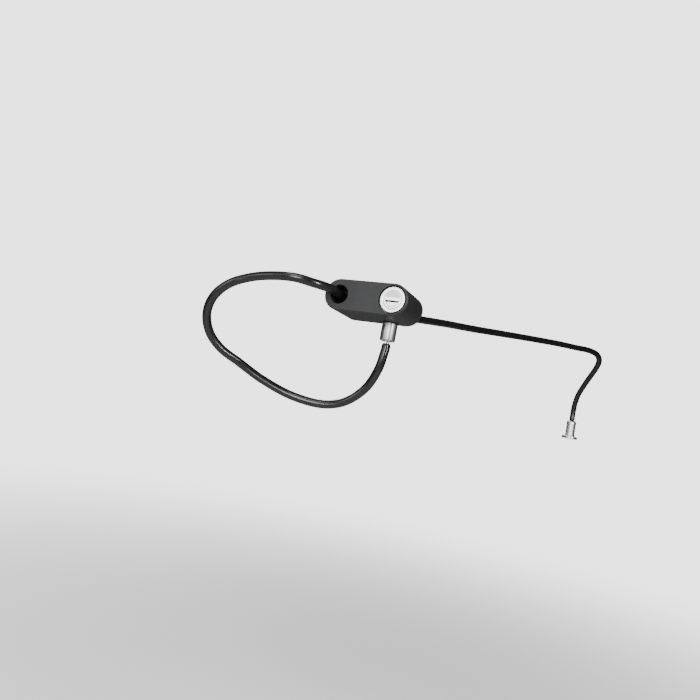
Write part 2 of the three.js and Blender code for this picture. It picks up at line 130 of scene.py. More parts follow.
# ---- nodes of a material --------------------------------------------------------------------
class Look:
    """A procedural material: a Principled shader and the few nodes that feed it."""

    def __init__(self, name, colour, roughness, metallic=0.0):
        self.material = bpy.data.materials.new(name)
        self.material.use_nodes = True
        self.tree = self.material.node_tree
        self.shader = self.tree.nodes["Principled BSDF"]
        self.shader.inputs["Base Color"].default_value = (*colour, 1)
        self.shader.inputs["Roughness"].default_value = roughness
        self.shader.inputs["Metallic"].default_value = metallic
        self.place = self.node("ShaderNodeTexCoord").outputs["Object"]
        self.last_bump = None

    def node(self, kind, **settings):
        made = self.tree.nodes.new(kind)
        for key, value in settings.items():
            setattr(made, key, value)
        return made

    def link(self, source, target):
        self.tree.links.new(source, target)

    def set(self, name, value):
        self.shader.inputs[name].default_value = value
        return self

    def maths(self, operation, first, second=None):
        node = self.node("ShaderNodeMath", operation=operation)
        for socket, value in zip(node.inputs, (first, second)):
            if value is None:
                continue
            if isinstance(value, (int, float)):
                socket.default_value = value
            else:
                self.link(value, socket)
        return node.outputs[0]

    def noise(self, scale, detail=2.0, roughness=0.5, vector=None, stretch=None):
        source = self.place if vector is None else vector
        if stretch is not None:
            mapping = self.node("ShaderNodeMapping")
            mapping.inputs["Scale"].default_value = stretch
            self.link(source, mapping.inputs["Vector"])
            source = mapping.outputs[0]
        node = self.node("ShaderNodeTexNoise")
        node.inputs["Scale"].default_value = scale
        node.inputs["Detail"].default_value = detail
        node.inputs["Roughness"].default_value = roughness
        self.link(source, node.inputs["Vector"])
        return node.outputs["Fac"]

    def ramp(self, source, *stops):
        node = self.node("ShaderNodeValToRGB")
        ramp = node.color_ramp
        while len(ramp.elements) < len(stops):
            ramp.elements.new(0.5)
        for element, (position, value) in zip(ramp.elements, stops):
            element.position = position
            colour = value if isinstance(value, tuple) else (value,) * 3
            element.color = (*colour, 1)
        self.link(source, node.inputs["Fac"])
        return node.outputs["Color"]

    def roughen(self, source, low, high):
        self.link(self.ramp(source, (0.3, low), (0.7, high)), self.shader.inputs["Roughness"])
        return self

    def tint(self, source, first, second, low=0.3, high=0.7):
        self.link(self.ramp(source, (low, first), (high, second)), self.shader.inputs["Base Color"])
        return self

    def bump(self, source, strength, depth):
        node = self.node("ShaderNodeBump")
        node.inputs["Strength"].default_value = strength
        node.inputs["Distance"].default_value = depth
        self.link(source, node.inputs["Height"])
        if self.last_bump is not None:
            self.link(self.last_bump, node.inputs["Normal"])
        self.last_bump = node.outputs["Normal"]
        return self

    def done(self):
        if self.last_bump is not None:
            self.link(self.last_bump, self.shader.inputs["Normal"])
        return self.material

    def distance_from_axis(self, axis_point, along):
        """How far a point is from an axis through axis_point along Y or Z."""
        offset = self.node("ShaderNodeVectorMath", operation="SUBTRACT")
        self.link(self.place, offset.inputs[0])
        offset.inputs[1].default_value = axis_point
        flat = self.node("ShaderNodeVectorMath", operation="MULTIPLY")
        self.link(offset.outputs[0], flat.inputs[0])
        flat.inputs[1].default_value = (1, 0, 1) if along == "Y" else (1, 1, 0)
        length = self.node("ShaderNodeVectorMath", operation="LENGTH")
        self.link(flat.outputs[0], length.inputs[0])
        return length.outputs["Value"]

    def line_noise(self, value, scale, detail=2.0):
        """Noise that changes only with one value, for turned and brushed lines."""
        combine = self.node("ShaderNodeCombineXYZ")
        self.link(value, combine.inputs["X"])
        return self.noise(scale, detail, vector=combine.outputs[0])

    def part(self, axis):
        """One coordinate of the place on the object."""
        split = self.node("ShaderNodeSeparateXYZ")
        self.link(self.place, split.inputs[0])
        return split.outputs[axis]

    def step(self, value, edge, width):
        """0 before an edge and 1 after it, eased over a width; a negative width turns it round."""
        node = self.node("ShaderNodeMapRange", interpolation_type="SMOOTHSTEP")
        self.link(value, node.inputs["Value"])
        node.inputs["From Min"].default_value = edge - abs(width) / 2
        node.inputs["From Max"].default_value = edge + abs(width) / 2
        node.inputs["To Min"].default_value = 0 if width > 0 else 1
        node.inputs["To Max"].default_value = 1 if width > 0 else 0
        return node.outputs["Result"]

    def mix(self, share, first, second):
        """One colour blended into another; each is a socket or three numbers."""
        node = self.node("ShaderNodeMix", data_type="RGBA")
        self.link(share, node.inputs["Factor"])
        for name, colour in (("A", first), ("B", second)):
            socket = next(s for s in node.inputs if s.name == name and s.type == "RGBA")
            if isinstance(colour, tuple):
                socket.default_value = (*colour, 1)
            else:
                self.link(colour, socket)
        return next(s for s in node.outputs if s.type == "RGBA")


# ---- materials ------------------------------------------------------------------------------
def moulded_plastic():
    """Charcoal housing plastic: fine spark texture, faint cloudiness and a few handling marks."""
    look = Look("moulded_plastic", (0.016, 0.0162, 0.017), 0.4)
    look.set("Specular IOR Level", 0.2)
    look.tint(look.noise(60, 4), (0.012, 0.0122, 0.0127), (0.0165, 0.0167, 0.0175))
    look.roughen(look.noise(900, 3), 0.44, 0.54)
    look.bump(look.noise(2600, 3, 0.6), 0.25, 0.00005)
    look.bump(look.noise(500, 2, stretch=(1, 0.15, 6)), 0.08, 0.00003)
    return look.done()


def jacket_vinyl():
    """Glossy black cable jacket, slightly wavy from extrusion, with dull scuffs."""
    look = Look("jacket_vinyl", (0.005, 0.005, 0.0055), 0.22)
    look.set("Specular IOR Level", 0.3)
    look.tint(look.noise(140, 4), (0.004, 0.004, 0.0043), (0.007, 0.007, 0.0075))
    look.roughen(look.noise(420, 5, 0.65), 0.17, 0.27)
    look.bump(look.noise(420, 2), 0.08, 0.00008)
    look.bump(look.noise(3500, 2), 0.05, 0.00003)
    return look.done()


def satin_nickel():
    """Plated key cylinder: circular satin lines about the key's axis, a grained field above the key
    slot's band, and painted shade that turns the keyway's inside near-black."""
    look = Look("satin_nickel", (0.86, 0.86, 0.85), 0.3, 1.0)
    radius = look.distance_from_axis(KEY, "Y")
    rings = look.line_noise(radius, 9000, 3)
    field = look.maths("MULTIPLY", look.step(look.part("Z"), HOLE.z + BAND_TOP, 0.1 * MM),
                       look.step(radius, FIELD_R, -0.1 * MM))
    # painted shade: past a set depth behind the face and within the plug, the keyway's inside gets a
    # near-black base colour for the shade that falls in the slot
    depth = look.step(look.part("Y"), HOLE.y + KEYWAY_SHADE_DEPTH, 0.12 * MM)
    inside = look.maths("MULTIPLY", depth, look.step(radius, KEYWAY_SHADE_R, -0.05 * MM))
    bright = look.ramp(look.noise(350, 3), (0.3, (0.82, 0.82, 0.82)), (0.7, (0.92, 0.92, 0.91)))
    grained = look.mix(field, bright, (0.50, 0.50, 0.50))
    look.link(look.mix(inside, grained, (0.03, 0.03, 0.03)), look.shader.inputs["Base Color"])
    polish = look.ramp(rings, (0.3, 0.34), (0.7, 0.46))
    look.link(look.mix(field, polish, (0.52, 0.52, 0.52)), look.shader.inputs["Roughness"])
    look.bump(rings, 0.10, 0.00002)
    grain = look.maths("MULTIPLY", field, look.noise(3200, 3, 0.6))
    look.bump(grain, 0.45, 0.00006)
    return look.done()


def turned_steel(name, tone, low, high):
    """Steel turned on a lathe about an upright axis: fine rings and a little unevenness."""
    look = Look(name, (tone, tone, tone * 1.01), 0.3, 1.0)
    rings = look.line_noise(look.part("Z"), 5200, 3)
    look.tint(look.noise(260, 3), (tone * 0.92,) * 3, (tone * 1.04,) * 3)
    look.roughen(rings, low, high)
    look.bump(rings, 0.18, 0.00003)
    look.bump(look.noise(900, 2), 0.05, 0.00004)
    return look.done()


def rope_wire():
    """Bright galvanised wire of the bare rope."""
    look = Look("rope_wire", (0.78, 0.78, 0.77), 0.28, 1.0)
    look.tint(look.noise(1500, 3), (0.62, 0.62, 0.60), (0.85, 0.85, 0.84))
    look.roughen(look.noise(2500, 2), 0.22, 0.38)
    look.bump(look.noise(4000, 2), 0.12, 0.00003)
    return look.done()


def cast_zinc():
    """Grainy die-cast zinc with soft flow marks."""
    look = Look("cast_zinc", (0.36, 0.37, 0.38), 0.52, 1.0)
    look.tint(look.noise(220, 5, 0.6), (0.30, 0.31, 0.32), (0.42, 0.43, 0.44))
    look.roughen(look.noise(700, 3), 0.42, 0.62)
    look.bump(look.noise(1600, 4, 0.6), 0.3, 0.00008)
    return look.done()


def stamped_brass():
    """Code wafers: stamped brass, a little darkened between rubbed high spots."""
    look = Look("stamped_brass", (0.66, 0.47, 0.18), 0.34, 1.0)
    look.tint(look.noise(500, 4), (0.50, 0.34, 0.12), (0.74, 0.54, 0.23))
    look.roughen(look.noise(1500, 2), 0.26, 0.44)
    look.bump(look.noise(2600, 2), 0.15, 0.00003)
    return look.done()


def spring_steel():
    """Small pressed and wound steel pieces with an oiled grey finish."""
    look = Look("spring_steel", (0.45, 0.45, 0.46), 0.32, 1.0)
    look.tint(look.noise(800, 3), (0.36, 0.36, 0.37), (0.52, 0.52, 0.53))
    look.roughen(look.noise(2000, 2), 0.24, 0.42)
    look.bump(look.noise(3000, 2), 0.10, 0.00003)
    return look.done()


def black_screw():
    """Black-oxide screws, rubbed brighter on their high spots."""
    look = Look("black_screw", (0.06, 0.06, 0.065), 0.38, 1.0)
    look.tint(look.noise(1400, 3), (0.035, 0.035, 0.04), (0.14, 0.14, 0.145), 0.45, 0.75)
    look.roughen(look.noise(1800, 2), 0.30, 0.48)
    look.bump(look.noise(2600, 2), 0.12, 0.00003)
    return look.done()


def seal_rubber():
    """Dull rubber ring with a fine mould skin."""
    look = Look("seal_rubber", (0.015, 0.015, 0.015), 0.8)
    look.tint(look.noise(600, 3), (0.011, 0.011, 0.011), (0.022, 0.022, 0.022))
    look.roughen(look.noise(1500, 2), 0.68, 0.88)
    look.bump(look.noise(3000, 2), 0.2, 0.00004)
    return look.done()


PLASTIC = moulded_plastic()
VINYL = jacket_vinyl()
NICKEL = satin_nickel()
FERRULE_STEEL = turned_steel("ferrule_steel", 0.34, 0.32, 0.42)
PIN_STEEL = turned_steel("pin_steel", 0.60, 0.18, 0.30)
ANCHOR_STEEL = turned_steel("anchor_steel", 0.50, 0.30, 0.45)
WIRE = rope_wire()
ZINC = cast_zinc()
BRASS = stamped_brass()
SPRING = spring_steel()
SCREW = black_screw()
RUBBER = seal_rubber()


# ---- mesh helpers ---------------------------------------------------------------------------
def add_object(name, mesh, material, sharp=32):
    """Links a finished mesh, smooth except along edges sharper than the given angle."""
    made = bpy.data.objects.new(name, mesh)
    bpy.context.scene.collection.objects.link(made)
    mesh.materials.append(material)
    mesh.shade_smooth()
    mesh.set_sharp_from_angle(angle=math.radians(sharp))
    return made


def mesh_from(bm, name):
    bmesh.ops.recalc_face_normals(bm, faces=bm.faces)
    mesh = bpy.data.meshes.new(name)
    bm.to_mesh(mesh)
    bm.free()
    return mesh


def bridge(bm, first, second):
    """Quads between two closed loops of equally many vertices."""
    count = len(first)
    for index in range(count):
        after = (index + 1) % count
        bm.faces.new((first[index], first[after], second[after], second[index]))


def lathe(profile, centre, along, segments=96):
    """A bmesh turned about an axis through centre along Y or Z; the profile lists radius and place
    along the axis from it, in metres. A profile that starts and ends on the axis is closed there."""
    bm = bmesh.new()
    loops = []
    for radius, place in profile:
        if radius < 1e-9:
            point = Vector((0, place, 0)) if along == "Y" else Vector((0, 0, place))
            loops.append([bm.verts.new(centre + point)])
            continue
        loop = []
        for index in range(segments):
            angle = TAU * index / segments
            c, s = radius * math.cos(angle), radius * math.sin(angle)
            point = Vector((c, place, s)) if along == "Y" else Vector((c, s, place))
            loop.append(bm.verts.new(centre + point))
        loops.append(loop)
    closed = len(loops[0]) > 1
    pairs = list(zip(loops, loops[1:] + ([loops[0]] if closed else [])))
    for first, second in pairs:
        if len(first) == 1 or len(second) == 1:
            hub, rim = (first[0], second) if len(first) == 1 else (second[0], first)
            if len(rim) > 1:
                for index in range(len(rim)):
                    bm.faces.new((hub, rim[index], rim[(index + 1) % len(rim)]))
        else:
            bridge(bm, first, second)
    return bm


def fillet(corner_radius, corner_place, size, radius_side, place_side, steps=5):
    """Points of a round-over between two profile lines that meet at a right angle. radius_side and
    place_side are +1 or -1: on which side of the corner the material's rounding centre lies."""
    centre = (corner_radius + radius_side * size, corner_place + place_side * size)
    points = []
    for index in range(steps + 1):
        angle = math.pi / 2 * index / steps
        points.append((
            centre[0] - radius_side * size * math.cos(angle),
            centre[1] - place_side * size * math.sin(angle),
        ))
    return points


def solid(name, bm):
    """A throwaway object for boolean work."""
    made = bpy.data.objects.new(name, mesh_from(bm, name))
    bpy.context.scene.collection.objects.link(made)
    return made


def carve(base, cutters, operation="DIFFERENCE"):
    """The base's mesh with the cutters taken away, or joined on; the helpers are removed."""
    for cutter in cutters:
        modifier = base.modifiers.new("cut", "BOOLEAN")
        modifier.operation = operation
        modifier.solver = "EXACT"
        modifier.object = cutter
    bpy.context.view_layer.update()
    evaluated = base.evaluated_get(bpy.context.evaluated_depsgraph_get())
    mesh = bpy.data.meshes.new_from_object(evaluated)
    mesh.name = base.name
    for used in [base, *cutters]:
        bpy.data.objects.remove(used)
    mesh.materials.clear()
    return mesh


def box_mesh(low, high):
    bm = bmesh.new()
    bmesh.ops.create_cube(bm, size=1)
    size = Vector(high) - Vector(low)
    bmesh.ops.scale(bm, vec=size, verts=bm.verts)
    bmesh.ops.translate(bm, vec=(Vector(high) + Vector(low)) / 2, verts=bm.verts)
    return bm


ARC_STEPS = 40


def oblong(radius, y):
    """Points of the housing's outline at a depth: two half rounds joined by straight sides."""
    points = []
    for centre_x, first in ((KEY_X, -math.pi / 2), (0, math.pi / 2)):
        for index in range(ARC_STEPS + 1):
            angle = first + math.pi * index / ARC_STEPS
            points.append(HOLE + Vector((
                centre_x + radius * math.cos(angle), y, radius * math.sin(angle),
            )))
    return points


def oblong_stack(levels):
    """A closed bmesh through oblong outlines, one for each (radius, depth)."""
    bm = bmesh.new()
    loops = [[bm.verts.new(point) for point in oblong(radius, y)] for radius, y in levels]
    for first, second in zip(loops, loops[1:]):
        bridge(bm, first, second)
    bm.faces.new(loops[0])
    bm.faces.new(list(reversed(loops[-1])))
    return bm


def finish_mesh(mesh):
    """Evens out a carved mesh: merges stray points and dissolves slivers."""
    bm = bmesh.new()
    bm.from_mesh(mesh)
    bmesh.ops.remove_doubles(bm, verts=bm.verts, dist=2e-6)
    bmesh.ops.dissolve_degenerate(bm, edges=bm.edges, dist=1e-6)
    bmesh.ops.recalc_face_normals(bm, faces=bm.faces)
    bm.to_mesh(mesh)
    bm.free()
    return mesh


def weight_normals(obj):
    modifier = obj.modifiers.new("even_shading", "WEIGHTED_NORMAL")
    modifier.keep_sharp = True
    modifier.weight = 90
    return obj


# ---- cable ----------------------------------------------------------------------------------
LOOP_ROUTE = [
    (-1.8, 6, 0.4), (-3.1, -2, 1.7), (-6.1, -9.9, 1.9), (-12, -17.5, 2), (-21.2, -23.6, 2.8),
    (-33.7, -27.1, 2.2), (-50.6, -30.4, -1), (-65.6, -34.3, -8.2), (-76.7, -33.7, -18.5),
    (-82.1, -29.5, -29.7), (-82, -22.5, -41.1), (-76.9, -13.6, -50.1), (-66.6, -2, -57.4),
    (-51.2, 8, -66.1), (-30.3, 18.7, -73.5), (-8.5, 26.3, -75.1), (6.2, 29.9, -70.3),
    (19.5, 30.7, -58.4), (27.7, 27.6, -43.6), (29.8, 26.6, -33.7), (30.3, 26.8, -29),
    (30.3, 26.8, -25.8),
]
RUN_ROUTE = [
    (-0.8, 12, -0.4), (2.7, 34, -0.4), (11, 60, 2), (25, 92, 6.5), (39, 127, 12),
    (54, 163, 17), (73, 209, 24), (94, 256, 31), (114, 293, 36), (130, 318, 38.5),
    (142.5, 338, 40.5), (150, 352, 39.5), (152.6, 366, 35.5), (150, 383, 29), (144, 400, 20),
    (137.5, 415, 9.5), (132, 426, -2), (129.6, 432, -13), (129, 434, -24), (129, 434, -32.7),
]
CABLE_R = 3.1 * MM
CABLE_SIDES = 36
ROUTE_STEP = 1.5 * MM
LAY_PITCH = 42 * MM
LAY_RELIEF = 0.004 * MM
END_ROUNDING = 0.45 * MM
STRANDS = 6
CURVE_STEPS = 24


def smooth_line(points, spacing):
    """A centripetal Catmull-Rom line through the points, in even steps."""
    ends = [2 * points[0] - points[1], *points, 2 * points[-1] - points[-2]]
    line = []
    for p0, p1, p2, p3 in zip(ends, ends[1:], ends[2:], ends[3:]):
        t1 = (p1 - p0).length ** 0.5
        t2 = t1 + (p2 - p1).length ** 0.5
        t3 = t2 + (p3 - p2).length ** 0.5
        for index in range(CURVE_STEPS):
            t = t1 + (t2 - t1) * index / CURVE_STEPS
            a1 = p0.lerp(p1, t / t1)
            a2 = p1.lerp(p2, (t - t1) / (t2 - t1))
            a3 = p2.lerp(p3, (t - t2) / (t3 - t2))
            b1 = a1.lerp(a2, t / t2)
            b2 = a2.lerp(a3, (t - t1) / (t3 - t1))
            line.append(b1.lerp(b2, (t - t1) / (t2 - t1)))
    line.append(points[-1])
    lengths = [0.0]
    for first, second in zip(line, line[1:]):
        lengths.append(lengths[-1] + (second - first).length)
    steps = round(lengths[-1] / spacing)
    even = []
    cursor = 0
    for index in range(steps + 1):
        target = lengths[-1] * index / steps
        while cursor < len(lengths) - 2 and lengths[cursor + 1] < target:
            cursor += 1
        span = lengths[cursor + 1] - lengths[cursor]
        even.append(line[cursor].lerp(line[cursor + 1], (target - lengths[cursor]) / span))
    return even


def carried_frames(line):
    """A side direction for each point, carried along the line without twisting."""
    side = Vector((0, 0, 1))
    frames = []
    for index, point in enumerate(line):
        before = line[max(index - 1, 0)]
        after = line[min(index + 1, len(line) - 1)]
        ahead = (after - before).normalized()
        side = (side - ahead * side.dot(ahead)).normalized()
        frames.append((point, side, ahead.cross(side)))
    return frames


def rope_tube(line, radius_at, sides):
    """A closed tube along a line; radius_at gives the radius for a step and an angle."""
    bm = bmesh.new()
    rings = []
    for step, (point, side, other) in enumerate(carried_frames(line)):
        ring = []
        for index in range(sides):
            angle = TAU * index / sides
            radius = radius_at(step, angle)
            offset = side * radius * math.cos(angle) + other * radius * math.sin(angle)
            ring.append(bm.verts.new(point + offset))
        rings.append(ring)
    for first, second in zip(rings, rings[1:]):
        bridge(bm, first, second)
    bm.faces.new(rings[0])
    bm.faces.new(list(reversed(rings[-1])))
    return bm


def make_cable():
    """The whole coated cable, from the steel tip through the loop and the housing to the anchor."""
    route = [at(*point) for point in [*reversed(LOOP_ROUTE), *RUN_ROUTE]]
    line = smooth_line(route, ROUTE_STEP)
    last = len(line) - 1

    def radius_at(step, angle):
        turn = TAU * step * ROUTE_STEP / LAY_PITCH
        relief = LAY_RELIEF * math.cos(STRANDS * (angle - turn))
        rounding = END_ROUNDING if step in (0, last) else 0.0
        return CABLE_R + relief - rounding

    mesh = mesh_from(rope_tube(line, radius_at, CABLE_SIDES), "coated_cable")
    return add_object("coated_cable", mesh, VINYL, 60), line


cable, cable_line = make_cable()


# ---- steel tip and bare rope ----------------------------------------------------------------
def make_ferrule():
    """Turned sleeve: a dish round the rope below, rounded ends and a hair line near the top."""
    radius = (ferrule_high.x - ferrule_low.x) / 2
    half = (ferrule_high.z - ferrule_low.z) / 2
    dish_r, dish_depth = 2.15 * MM, 1.0 * MM
    line_depth, line_top, line_bottom = 0.12 * MM, half - 1.2 * MM, half - 1.75 * MM
    profile = [(0, dish_depth - half), (dish_r, dish_depth - half)]
    profile += [(dish_r + 0.25 * MM, 0.15 * MM - half), (dish_r + 0.45 * MM, -half)]
    profile += [(radius - 0.4 * MM, -half), (radius - 0.06 * MM, 0.3 * MM - half)]
    profile += [(radius, 0.45 * MM - half), (radius, line_bottom)]
    profile += [(radius - line_depth, line_bottom + 0.15 * MM)]
    profile += [(radius - line_depth, line_top - 0.15 * MM), (radius, line_top)]
    profile += fillet(radius, half, 0.35 * MM, -1, -1)
    profile += [(0, half)]
    mesh = mesh_from(lathe(profile, TIP, "Z"), "tip_ferrule")
    return add_object("tip_ferrule", mesh, FERRULE_STEEL, 28)


def make_pin():
    """Locking pin with the bolt's groove level with the housing's middle, and a blunt nose."""
    centre = (pin_low + pin_high) / 2
    half = (pin_high.z - pin_low.z) / 2
    radius = (pin_high.x - pin_low.x) / 2
    groove_z = HOLE.z - centre.z
    groove_r, groove_half = 1.8 * MM, 2.8 * MM
    edge = 0.25 * MM
    profile = [(0, -half), (radius - edge, -half), (radius, -half + edge)]
    profile += [(radius, groove_z - groove_half - edge), (radius - edge, groove_z - groove_half)]
    profile += [(groove_r + edge, groove_z - groove_half), (groove_r, groove_z - groove_half + edge)]
    profile += [(groove_r, groove_z + groove_half - edge), (groove_r + edge, groove_z + groove_half)]
    profile += [(radius - edge, groove_z + groove_half), (radius, groove_z + groove_half + edge)]
    nose = 1.1 * MM
    profile += [(radius, half - nose), (radius - 0.25 * MM, half - 0.75 * MM)]
    profile += [(radius - 1.0 * MM, half - 0.1 * MM), (radius - 1.4 * MM, half), (0, half)]
    mesh = mesh_from(lathe(profile, centre, "Z"), "grooved_pin")
    return add_object("grooved_pin", mesh, PIN_STEEL, 28)


def make_bare_rope():
    """Seven strands of seven wires each, twisted about the tip's axis, between ferrule and jacket.
    Strand or wire -1 is the straight one in the middle."""
    strand_r = 0.66 * MM
    wire_r = 0.22 * MM
    drawn_r = wire_r * 0.985
    strand_pitch = 26 * MM
    wire_turns = 2.4
    bottom, top = neck_low.z - 0.6 * MM, neck_high.z + 0.5 * MM
    steps = 14
    whole = bmesh.new()
    for strand in range(-1, 6):
        for wire in range(-1, 6):
            line = []
            for step in range(steps + 1):
                share = step / steps
                z = bottom + (top - bottom) * share
                twist = TAU * (z - bottom) / strand_pitch
                strand_angle = TAU * strand / 6 + twist
                reach = 0 if strand < 0 else 2 * strand_r
                wire_angle = TAU * wire / 6 - wire_turns * twist
                wire_reach = 0 if wire < 0 else 2 * wire_r
                line.append(Vector((
                    TIP.x + reach * math.cos(strand_angle) + wire_reach * math.cos(wire_angle),
                    TIP.y + reach * math.sin(strand_angle) + wire_reach * math.sin(wire_angle),
                    z,
                )))
            piece = rope_tube(line, lambda step, angle: drawn_r, 8)
            part = mesh_from(piece, "wire")
            whole.from_mesh(part)
            bpy.data.meshes.remove(part)
    return add_object("bare_rope", mesh_from(whole, "bare_rope"), WIRE, 50)


ferrule = make_ferrule()
pin = make_pin()
bare_rope = make_bare_rope()


# ---- anchor ---------------------------------------------------------------------------------
def make_anchor():
    """Swaged sleeve on a round foot, with the shallow bands that the swaging dies leave."""
    foot_r = (anchor_high.x - anchor_low.x) / 2
    half = (anchor_high.z - anchor_low.z) / 2
    sleeve_r = 5.5 * MM
    foot_top = 3 * MM - half
    edge = 0.4 * MM
    profile = [(0, -half), (foot_r - edge, -half), (foot_r, edge - half)]
    profile += [(foot_r, foot_top - edge), (foot_r - edge, foot_top)]
    profile += [(sleeve_r + 0.7 * MM, foot_top), (sleeve_r + 0.2 * MM, foot_top + 0.2 * MM)]
    profile += [(sleeve_r, foot_top + 0.7 * MM)]
    band_depth, band_pitch, band_width, band_ease = 0.28 * MM, 4.2 * MM, 2.6 * MM, 0.35 * MM
    for band in range(3):
        start = foot_top + 3.2 * MM + band * band_pitch
        end = start + band_width
        profile += [(sleeve_r, start), (sleeve_r - band_depth, start + band_ease)]
        profile += [(sleeve_r - band_depth, end - band_ease), (sleeve_r, end)]
    socket_r, socket_floor = 3.2 * MM, half - 0.8 * MM
    profile += [(sleeve_r, half - 1.6 * MM), (sleeve_r - 0.5 * MM, half - 0.75 * MM)]
    profile += [(sleeve_r - 1.5 * MM, half), (socket_r + 0.2 * MM, half)]
    profile += [(socket_r, socket_floor), (0, socket_floor)]
    mesh = mesh_from(lathe(profile, ANCHOR, "Z"), "anchor_end")
    return add_object("anchor_end", mesh, ANCHOR_STEEL, 28)


anchor = make_anchor()

# ---- housing --------------------------------------------------------------------------------
FRONT_BEVEL = 0.75 * MM
EDGE_EASE = 0.08 * MM
INNER_R = 9.5 * MM
FACE_WALL = 2.4 * MM
TUBE_R = 8.0 * MM
HOLE_R = 6.5 * MM
KEY_OPENING_R = 9.6 * MM
PIN_BORE_R = 3.9 * MM
MOUTH_EASE = 0.4 * MM
SCREW_SHANK_R = 1.25 * MM
SCREW_BORE_R = 1.55 * MM
SCREW_SINK_R = 2.7 * MM
SOCKET_DEPTH = 1.2 * MM
SOCKET_R = 1.02 * MM
SOCKET_WAVE = 0.16 * MM
CUT_OVER = 2 * MM
SHELL_DEPTH = shell_high.y - shell_low.y
COVER_FRONT = cover_low.y - shell_low.y
BODY_DEPTH = cover_high.y - shell_low.y
KEY_AXIS = Vector((KEY.x, HOLE.y, HOLE.z))
SCREWS = [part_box(f"cover_screw_{number}") for number in (1, 2, 3)]


def bevelled_levels(radius, bevel, depth, back_round):
    """Outline levels with a flat bevel in front, its edges just eased, and a rounded back edge."""
    levels = [(radius - bevel - EDGE_EASE, 0), (radius - bevel + EDGE_EASE * 0.7, EDGE_EASE * 0.7)]
    levels += [(radius - EDGE_EASE * 0.7, bevel - EDGE_EASE * 0.7), (radius, bevel + EDGE_EASE)]
    return levels + fillet(radius, depth, back_round, -1, -1, 4)


def hole_cutter(name, centre, radius, lip, depth, segments=96):
    """A round hole from the face inwards, with a rounded mouth."""
    profile = [(0, -CUT_OVER), (radius + lip, -CUT_OVER)]
    profile += [(radius + lip * (1 - math.sin(a)), lip * (1 - math.cos(a)))
                for a in (math.pi / 2 * i / 5 for i in range(6))]
    profile += [(radius, depth), (0, depth)]
    return solid(name, lathe(profile, centre, "Y", segments))


def make_shell():
    """Open-backed shell with the cable's tube, the key cylinder's opening and the tip's mouth."""
    levels = bevelled_levels(BODY_R, FRONT_BEVEL, SHELL_DEPTH, 0.2 * MM)
    outside = solid("housing_front", oblong_stack(levels))
    tube_front = -5 * MM
    tube = [(0, tube_front), (TUBE_R, tube_front), (TUBE_R, BODY_DEPTH), (0, BODY_DEPTH)]
    tube_wall = lathe(tube, HOLE, "Y", 72)
    hollow = solid("hollow", oblong_stack([(INNER_R, FACE_WALL), (INNER_R, BODY_DEPTH)]))
    hollow_mesh = carve(hollow, [solid("tube_wall", tube_wall)])
    hollow = bpy.data.objects.new("hollow", hollow_mesh)
    bpy.context.scene.collection.objects.link(hollow)
    cutters = [
        hollow,
        hole_cutter("cable_hole", HOLE, HOLE_R, 0.5 * MM, BODY_DEPTH),
        hole_cutter("key_opening", KEY_AXIS, KEY_OPENING_R, 0.22 * MM, FACE_WALL + 1 * MM),
    ]
    underside = HOLE.z - BODY_R - TIP.z
    mouth_r, mouth_top = PIN_BORE_R + MOUTH_EASE, underside + 4 * MM
    mouth = [(0, underside - CUT_OVER), (mouth_r, underside - CUT_OVER), (mouth_r, underside)]
    mouth += [(PIN_BORE_R, underside + MOUTH_EASE), (PIN_BORE_R, mouth_top), (0, mouth_top)]
    cutters.append(solid("pin_mouth", lathe(mouth, TIP, "Z", 64)))
    mesh = finish_mesh(carve(outside, cutters))
    return weight_normals(add_object("housing_front", mesh, PLASTIC, 30))


def make_cover():
    """Back plate with a rounded rear edge, the cable's bore and three countersinks."""
    plate_round = 0.7 * MM
    levels = [(BODY_R - 0.2 * MM, COVER_FRONT), (BODY_R, COVER_FRONT + 0.2 * MM)]
    levels += fillet(BODY_R, BODY_DEPTH, plate_round, -1, -1, 5)
    plate = solid("housing_back", oblong_stack(levels))
    bore = [(0, COVER_FRONT - MM), (HOLE_R, COVER_FRONT - MM), (HOLE_R, BODY_DEPTH - 0.5 * MM)]
    bore += [(HOLE_R + 0.15 * MM, BODY_DEPTH - 0.15 * MM), (HOLE_R + 0.5 * MM, BODY_DEPTH)]
    bore += [(HOLE_R + 0.5 * MM, BODY_DEPTH + MM), (0, BODY_DEPTH + MM)]
    cutters = [solid("bore", lathe(bore, HOLE, "Y"))]
    for low, high in SCREWS:
        middle = (low + high) / 2
        centre = Vector((middle.x, HOLE.y, middle.z))
        sink = [(0, COVER_FRONT - MM), (SCREW_BORE_R, COVER_FRONT - MM)]
        sink += [(SCREW_BORE_R, COVER_FRONT + 0.6 * MM), (SCREW_SINK_R, BODY_DEPTH - 0.2 * MM)]
        sink += [(SCREW_SINK_R, BODY_DEPTH + MM), (0, BODY_DEPTH + MM)]
        cutters.append(solid("sink", lathe(sink, centre, "Y", 48)))
    mesh = finish_mesh(carve(plate, cutters))
    return weight_normals(add_object("housing_back", mesh, PLASTIC, 30))


shell = make_shell()
cover = make_cover()


